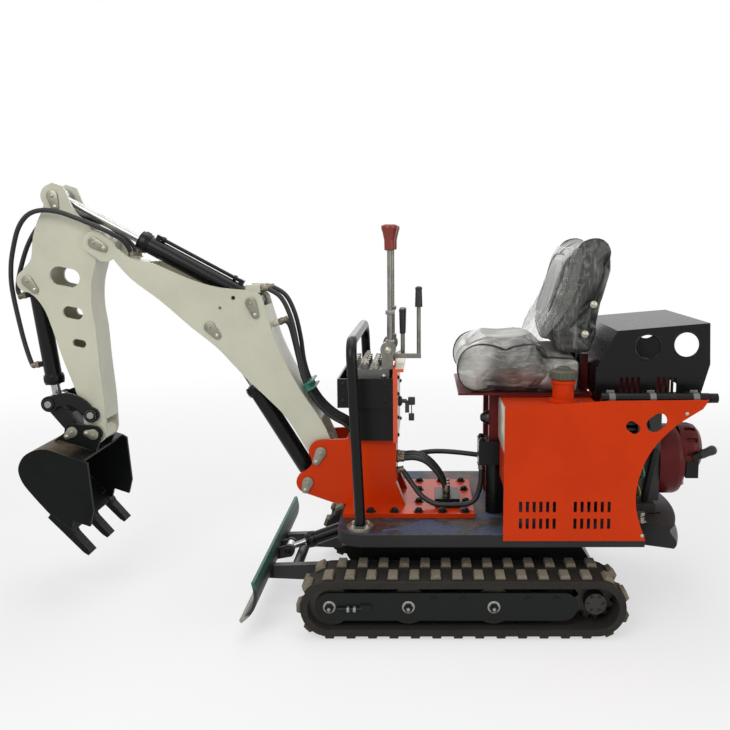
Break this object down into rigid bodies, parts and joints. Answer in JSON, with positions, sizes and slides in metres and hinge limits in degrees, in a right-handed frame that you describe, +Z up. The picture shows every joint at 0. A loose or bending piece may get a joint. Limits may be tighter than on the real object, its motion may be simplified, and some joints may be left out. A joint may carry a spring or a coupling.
{
  "type": "mini excavator",
  "caption": "Small tracked excavator with an open seat, slewing deck, boom, arm, bucket and dozer blade, each with its cylinder.",
  "frame": {"origin": "on the ground under the middle of the overall length and width as parked", "axes": "+X forward towards the bucket, +Y to the machine's left, +Z up"},
  "size_m": [2.4185, 0.86, 1.4204],
  "materials": {
    "track_rubber": "dull rubber, dusty",
    "dark_frame": "satin black paint",
    "bare_steel": "dull machined steel",
    "cast_grey": "rough cast",
    "orange": "gloss paint",
    "cream": "gloss paint",
    "black": "gloss black paint",
    "chrome": "polished",
    "maroon": "satin paint",
    "seat_vinyl": "soft black vinyl",
    "hose_rubber": "matt rubber",
    "bucket_paint": "worn dark paint"
  },
  "bodies": {
    "undercarriage": {"track_left": "track_rubber", "track_right": "track_rubber", "track_frame_left": "dark_frame", "track_frame_right": "dark_frame", "idlers": "bare_steel", "sprockets": "bare_steel", "road_rollers": "bare_steel", "travel_motors": "cast_grey", "carbody": "dark_frame", "slew_ring_lower": "bare_steel"},
    "blade": {"blade": "dark_frame"},
    "blade_barrel": {"blade_barrel": "black"},
    "blade_rod": {"blade_rod": "chrome"},
    "upper": {"deck": "dark_frame", "slew_ring_upper": "bare_steel", "tail_weight": "dark_frame", "kingpost": "orange", "console_box": "black", "valve_bank": "bare_steel", "long_levers": "bare_steel", "short_levers": "black", "dash_panel": "cream", "handrail": "black", "side_panels": "orange", "tanks": "orange", "rail_tubes": "black", "hood": "black", "engine_block": "maroon", "engine_shroud": "maroon", "pull_handle": "black", "pump_unit": "black", "manifold": "bare_steel", "seat_frame": "maroon", "seat_cushion": "seat_vinyl", "seat_back": "seat_vinyl", "deck_hoses": "hose_rubber"},
    "boom": {"boom_frame": "cream", "boom_hoses": "hose_rubber"},
    "boom_barrel": {"boom_barrel": "black"},
    "boom_rod": {"boom_rod": "chrome"},
    "arm": {"arm_frame": "cream", "loop_hoses": "hose_rubber"},
    "arm_barrel": {"arm_barrel": "black"},
    "arm_rod": {"arm_rod": "chrome"},
    "bucket_barrel": {"bucket_barrel": "black"},
    "bucket_rod": {"bucket_rod": "chrome"},
    "bucket": {"bucket_shell": "bucket_paint", "bucket_teeth": "bare_steel"},
    "rocker": {"rocker": "black"},
    "link": {"link": "black"}
  },
  "joints": [
    {"name": "slew", "type": "hinge", "parent": "undercarriage", "child": "upper", "pos_m": [-0.3355, 0, 0.25], "axis": [0, 0, 1], "continuous": true},
    {"name": "boom_lift", "type": "hinge", "parent": "upper", "child": "boom", "pos_m": [0.1385, 0, 0.511], "axis": [0, -1, 0], "range_deg": [-70, 30], "deforming": ["boom_hoses"]},
    {"name": "arm_swing", "type": "hinge", "parent": "boom", "child": "arm", "pos_m": [0.8875, 0, 1.222], "axis": [0, 1, 0], "range_deg": [-100, 5], "deforming": ["loop_hoses"]},
    {"name": "bucket_curl", "type": "hinge", "parent": "arm", "child": "bucket", "pos_m": [0.9195, 0, 0.569], "axis": [0, 1, 0], "range_deg": [-8, 120]},
    {"name": "blade_lift", "type": "hinge", "parent": "undercarriage", "child": "blade", "pos_m": [0.0095, 0, 0.112], "axis": [0, -1, 0], "range_deg": [-22, 9]},
    {"name": "boom_barrel_tilt", "type": "hinge", "parent": "upper", "child": "boom_barrel", "pos_m": [0.1845, 0, 0.406], "axis": [0, -1, 0], "range_deg": [-67.9, 29.39]},
    {"name": "boom_rod_slide", "type": "slide", "parent": "boom_barrel", "child": "boom_rod", "axis": [0.5206, 0, 0.8538], "range_m": [-0.11203, 0.04916]},
    {"name": "arm_barrel_tilt", "type": "hinge", "parent": "boom", "child": "arm_barrel", "pos_m": [0.3685, 0, 1.02], "axis": [0, 1, 0], "range_deg": [-17.87, 1.37]},
    {"name": "arm_rod_slide", "type": "slide", "parent": "arm_barrel", "child": "arm_rod", "axis": [0.8789, 0, 0.477], "range_m": [-0.26466, 0.01513]},
    {"name": "bucket_barrel_tilt", "type": "hinge", "parent": "arm", "child": "bucket_barrel", "pos_m": [1.1235, 0, 1.093], "axis": [0, 1, 0], "range_deg": [-0.64, 2.54]},
    {"name": "bucket_rod_slide", "type": "slide", "parent": "bucket_barrel", "child": "bucket_rod", "axis": [-0.1298, 0, -0.9915], "range_m": [-0.01329, 0.17141]},
    {"name": "rocker_swing", "type": "hinge", "parent": "arm", "child": "rocker", "pos_m": [0.9265, 0, 0.635], "axis": [0, 1, 0], "range_deg": [-5.23, 71.49]},
    {"name": "link_swing", "type": "hinge", "parent": "bucket", "child": "link", "pos_m": [0.9915, 0, 0.5775], "axis": [0, 1, 0], "range_deg": [-79.44, 5.76]},
    {"name": "blade_barrel_tilt", "type": "hinge", "parent": "undercarriage", "child": "blade_barrel", "pos_m": [0.0645, 0, 0.213], "axis": [0, -1, 0], "range_deg": [-22.66, 9.56]},
    {"name": "blade_rod_slide", "type": "slide", "parent": "blade_barrel", "child": "blade_rod", "axis": [0.9375, 0, -0.3481], "range_m": [-0.01951, 0.04481]}
  ],
  "couplings": [
    {"joint": "boom_barrel_tilt", "follows": "boom_lift", "ratio": 0.96291},
    {"joint": "boom_rod_slide", "follows": "boom_lift", "m_per_rad": 0.09006},
    {"joint": "arm_barrel_tilt", "follows": "arm_swing", "ratio": 0.17373},
    {"joint": "arm_rod_slide", "follows": "arm_swing", "m_per_rad": 0.15049},
    {"joint": "bucket_barrel_tilt", "follows": "bucket_curl", "ratio": 0.017},
    {"joint": "bucket_rod_slide", "follows": "bucket_curl", "m_per_rad": 0.08089},
    {"joint": "rocker_swing", "follows": "bucket_curl", "ratio": 0.59157},
    {"joint": "link_swing", "follows": "bucket_curl", "ratio": -0.65782},
    {"joint": "blade_barrel_tilt", "follows": "blade_lift", "ratio": 1.0072},
    {"joint": "blade_rod_slide", "follows": "blade_lift", "m_per_rad": -0.1115}
  ]
}
